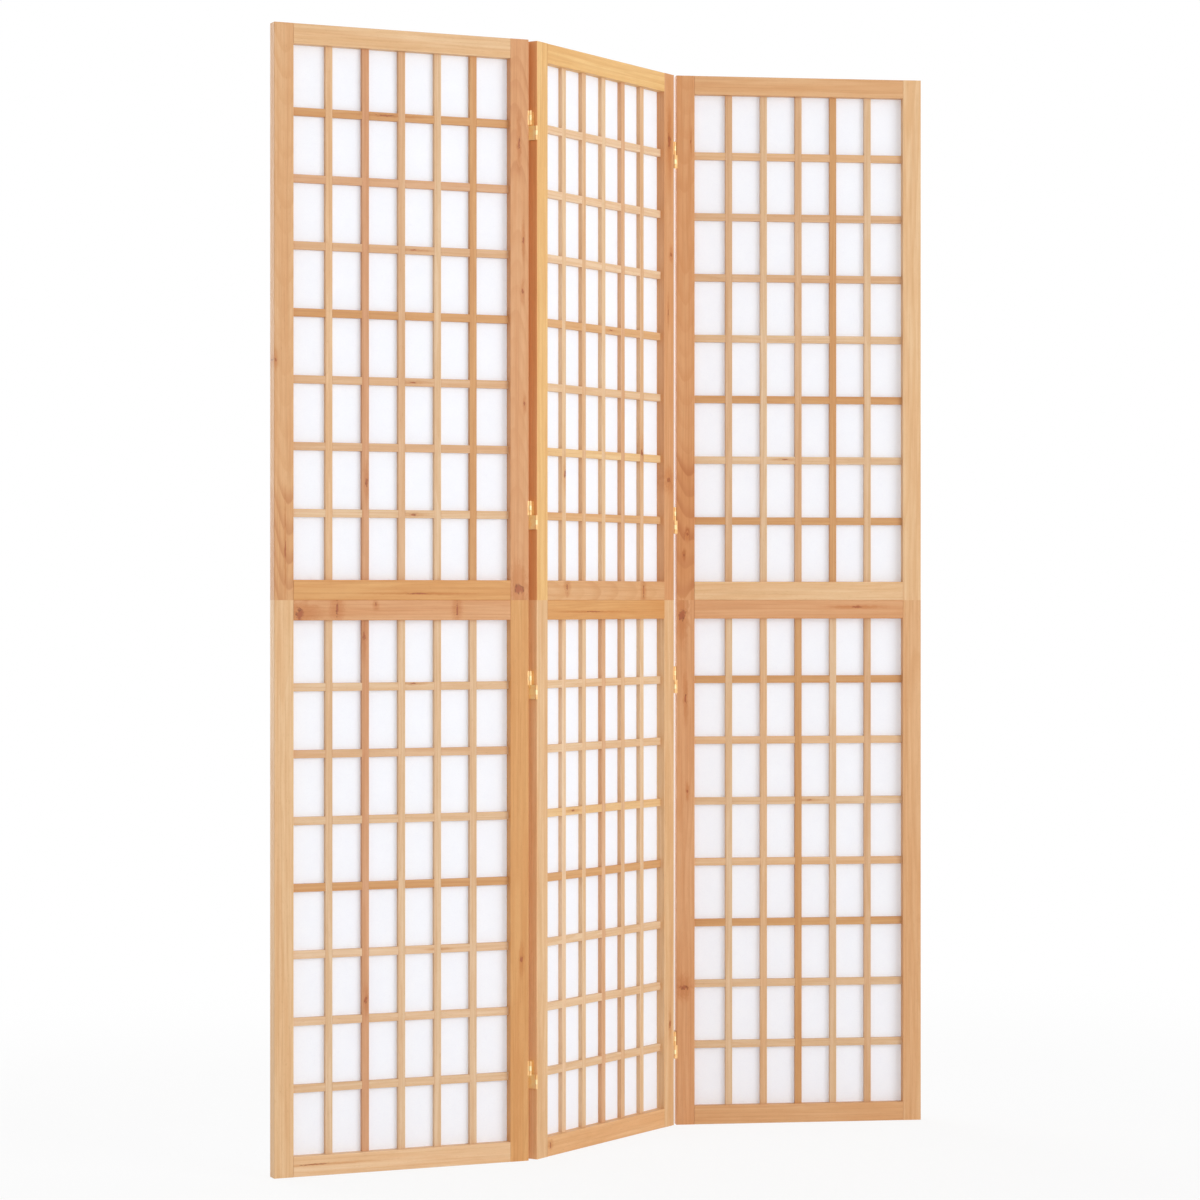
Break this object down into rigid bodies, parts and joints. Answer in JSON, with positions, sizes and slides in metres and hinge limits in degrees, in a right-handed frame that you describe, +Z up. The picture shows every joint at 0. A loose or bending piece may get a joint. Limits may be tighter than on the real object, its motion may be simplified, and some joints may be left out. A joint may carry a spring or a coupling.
{
  "type": "folding screen",
  "caption": "Zigzag folding screen of softwood lattice frames with white paper, standing on the floor, its panels joined by brass double-action hinges.",
  "frame": {"origin": "middle of the middle panel's foot, on the floor, at the middle of the frame's thickness", "axes": "+X along the middle panel to the right, +Y to the back, +Z up; the bars show on the -Y side"},
  "size_m": [1.0354, 0.5592, 1.7],
  "materials": {
    "frame_wood": "oiled",
    "lattice_wood": "oiled",
    "paper": "matt",
    "dowel_wood": "plain",
    "hinge_brass": "satin",
    "pin_steel": "bright",
    "screw_brass": "bright"
  },
  "bodies": {
    "middle_panel": {"middle_upper_left_stile": "frame_wood", "middle_upper_right_stile": "frame_wood", "middle_upper_top_rail": "frame_wood", "middle_upper_bottom_rail": "frame_wood", "middle_upper_upright_bars": "lattice_wood", "middle_upper_cross_bars": "lattice_wood", "middle_upper_paper": "paper", "middle_lower_left_stile": "frame_wood", "middle_lower_right_stile": "frame_wood", "middle_lower_top_rail": "frame_wood", "middle_lower_bottom_rail": "frame_wood", "middle_lower_upright_bars": "lattice_wood", "middle_lower_cross_bars": "lattice_wood", "middle_lower_paper": "paper", "middle_dowels": "dowel_wood", "left_fold_inner_leaves": "hinge_brass", "left_fold_lower_links": "hinge_brass", "left_fold_inner_pins": "pin_steel", "right_fold_inner_leaves": "hinge_brass", "right_fold_lower_links": "hinge_brass", "right_fold_inner_pins": "pin_steel", "middle_screws": "screw_brass"},
    "left_panel": {"left_upper_left_stile": "frame_wood", "left_upper_right_stile": "frame_wood", "left_upper_top_rail": "frame_wood", "left_upper_bottom_rail": "frame_wood", "left_upper_upright_bars": "lattice_wood", "left_upper_cross_bars": "lattice_wood", "left_upper_paper": "paper", "left_lower_left_stile": "frame_wood", "left_lower_right_stile": "frame_wood", "left_lower_top_rail": "frame_wood", "left_lower_bottom_rail": "frame_wood", "left_lower_upright_bars": "lattice_wood", "left_lower_cross_bars": "lattice_wood", "left_lower_paper": "paper", "left_dowels": "dowel_wood", "left_fold_outer_leaves": "hinge_brass", "left_fold_upper_links": "hinge_brass", "left_fold_outer_pins": "pin_steel", "left_screws": "screw_brass"},
    "right_panel": {"right_upper_left_stile": "frame_wood", "right_upper_right_stile": "frame_wood", "right_upper_top_rail": "frame_wood", "right_upper_bottom_rail": "frame_wood", "right_upper_upright_bars": "lattice_wood", "right_upper_cross_bars": "lattice_wood", "right_upper_paper": "paper", "right_lower_left_stile": "frame_wood", "right_lower_right_stile": "frame_wood", "right_lower_top_rail": "frame_wood", "right_lower_bottom_rail": "frame_wood", "right_lower_upright_bars": "lattice_wood", "right_lower_cross_bars": "lattice_wood", "right_lower_paper": "paper", "right_dowels": "dowel_wood", "right_fold_outer_leaves": "hinge_brass", "right_fold_upper_links": "hinge_brass", "right_fold_outer_pins": "pin_steel", "right_screws": "screw_brass"}
  },
  "joints": [
    {"name": "left_fold", "type": "hinge", "parent": "middle_panel", "child": "left_panel", "pos_m": [-0.2049, 0.0102, 0.85], "axis": [0, 0, -1], "range_deg": [-34, 146]},
    {"name": "right_fold", "type": "hinge", "parent": "middle_panel", "child": "right_panel", "pos_m": [0.2049, -0.0102, 0.85], "axis": [0, 0, -1], "range_deg": [-50, 130]}
  ]
}
